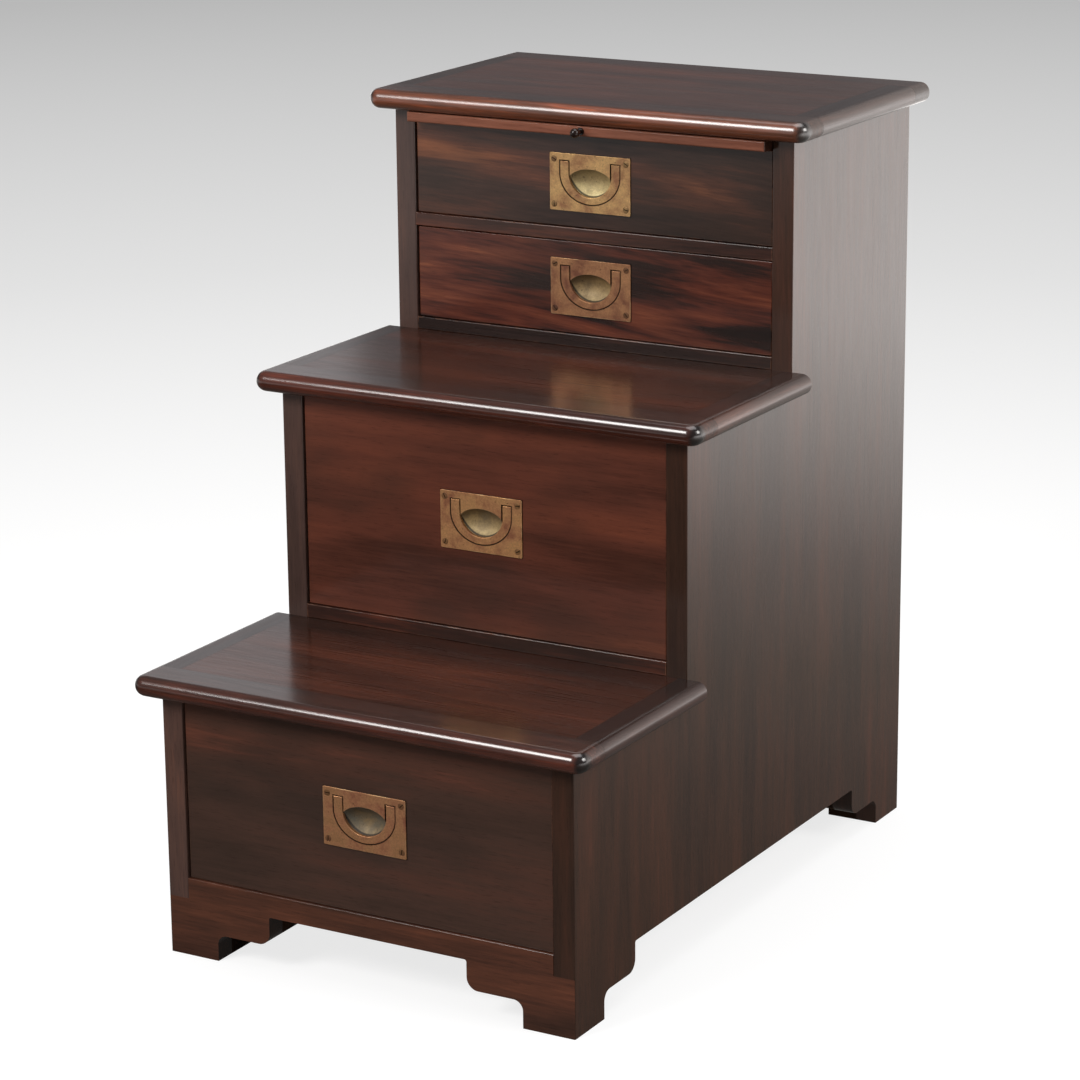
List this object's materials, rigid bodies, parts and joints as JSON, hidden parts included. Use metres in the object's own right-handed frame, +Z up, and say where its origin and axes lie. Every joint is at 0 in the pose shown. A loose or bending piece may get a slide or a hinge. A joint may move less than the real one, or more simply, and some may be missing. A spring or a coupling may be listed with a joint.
{
  "type": "step chest",
  "caption": "Low stepped chest of dark wood: bullnosed treads climb over drawers with flush swing-bail pulls, a pull-out slide under the top tread, and bracket feet.",
  "frame": {"origin": "on the floor, at the middle of the chest's bounding box from above", "axes": "+Z up, -Y towards the person who climbs the steps and opens the drawers, +X to that person's right"},
  "size_m": [0.438, 0.647, 0.696],
  "materials": {
    "case_wood": "polished dark reddish-brown hardwood",
    "tread_wood": "polished dark reddish-brown hardwood",
    "drawer_front_wood": "polished figured reddish-brown hardwood",
    "slide_wood": "matte light reddish-brown wood",
    "knob_wood": "turned dark wood",
    "lining_wood": "plain planed secondary wood",
    "brass": "aged cast brass, worn brighter on edges"
  },
  "bodies": {
    "carcass": {"side_board_left": "case_wood", "side_board_right": "case_wood", "front_apron": "case_wood", "back_apron": "case_wood", "foot_blocks": "lining_wood", "bottom_board": "lining_wood", "middle_rail": "case_wood", "middle_running_board": "lining_wood", "upper_rail": "case_wood", "upper_running_board": "lining_wood", "divider_rail": "case_wood", "divider_board": "lining_wood", "drawer_kickers": "lining_wood", "slide_bearers": "lining_wood", "drawer_stops": "lining_wood", "back_stiles": "lining_wood", "back_rails": "lining_wood", "back_panels": "lining_wood", "lower_tread_front": "tread_wood", "lower_tread_sides": "tread_wood", "lower_tread_panel": "tread_wood", "middle_tread_front": "tread_wood", "middle_tread_sides": "tread_wood", "middle_tread_panel": "tread_wood", "upper_tread_front": "tread_wood", "upper_tread_sides": "tread_wood", "upper_tread_panel": "tread_wood", "upper_tread_back": "tread_wood"},
    "lower_drawer": {"lower_drawer_front": "drawer_front_wood", "lower_drawer_sides": "lining_wood", "lower_drawer_back": "lining_wood", "lower_drawer_bottom": "lining_wood", "lower_pull_plate": "brass", "lower_pull_screws": "brass"},
    "lower_bail": {"lower_pull_bail": "brass"},
    "middle_drawer": {"middle_drawer_front": "drawer_front_wood", "middle_drawer_sides": "lining_wood", "middle_drawer_back": "lining_wood", "middle_drawer_bottom": "lining_wood", "middle_pull_plate": "brass", "middle_pull_screws": "brass"},
    "middle_bail": {"middle_pull_bail": "brass"},
    "upper_drawer": {"upper_drawer_front": "drawer_front_wood", "upper_drawer_sides": "lining_wood", "upper_drawer_back": "lining_wood", "upper_drawer_bottom": "lining_wood", "upper_pull_plate": "brass", "upper_pull_screws": "brass"},
    "upper_bail": {"upper_pull_bail": "brass"},
    "top_drawer": {"top_drawer_front": "drawer_front_wood", "top_drawer_sides": "lining_wood", "top_drawer_back": "lining_wood", "top_drawer_bottom": "lining_wood", "top_pull_plate": "brass", "top_pull_screws": "brass"},
    "top_bail": {"top_pull_bail": "brass"},
    "slide": {"slide_board": "slide_wood", "slide_lipping": "slide_wood", "slide_knob": "knob_wood"}
  },
  "joints": [
    {"name": "lower_drawer_slide", "type": "slide", "parent": "carcass", "child": "lower_drawer", "axis": [0, -1, 0], "range_m": [0, 0.44]},
    {"name": "lower_bail_hinge", "type": "hinge", "parent": "lower_drawer", "child": "lower_bail", "pos_m": [0, -0.3006, 0.1687], "axis": [-1, 0, 0], "range_deg": [0, 90]},
    {"name": "middle_drawer_slide", "type": "slide", "parent": "carcass", "child": "middle_drawer", "axis": [0, -1, 0], "range_m": [0, 0.3]},
    {"name": "middle_bail_hinge", "type": "hinge", "parent": "middle_drawer", "child": "middle_bail", "pos_m": [0, -0.1061, 0.37745], "axis": [-1, 0, 0], "range_deg": [0, 90]},
    {"name": "upper_drawer_slide", "type": "slide", "parent": "carcass", "child": "upper_drawer", "axis": [0, -1, 0], "range_m": [0, 0.155]},
    {"name": "upper_bail_hinge", "type": "hinge", "parent": "upper_drawer", "child": "upper_bail", "pos_m": [0, 0.0884, 0.5457], "axis": [-1, 0, 0], "range_deg": [0, 90]},
    {"name": "top_drawer_slide", "type": "slide", "parent": "carcass", "child": "top_drawer", "axis": [0, -1, 0], "range_m": [0, 0.155]},
    {"name": "top_bail_hinge", "type": "hinge", "parent": "top_drawer", "child": "top_bail", "pos_m": [0, 0.0884, 0.64005], "axis": [-1, 0, 0], "range_deg": [0, 90]},
    {"name": "slide_travel", "type": "slide", "parent": "carcass", "child": "slide", "axis": [0, -1, 0], "range_m": [-0.0145, 0.17]}
  ]
}
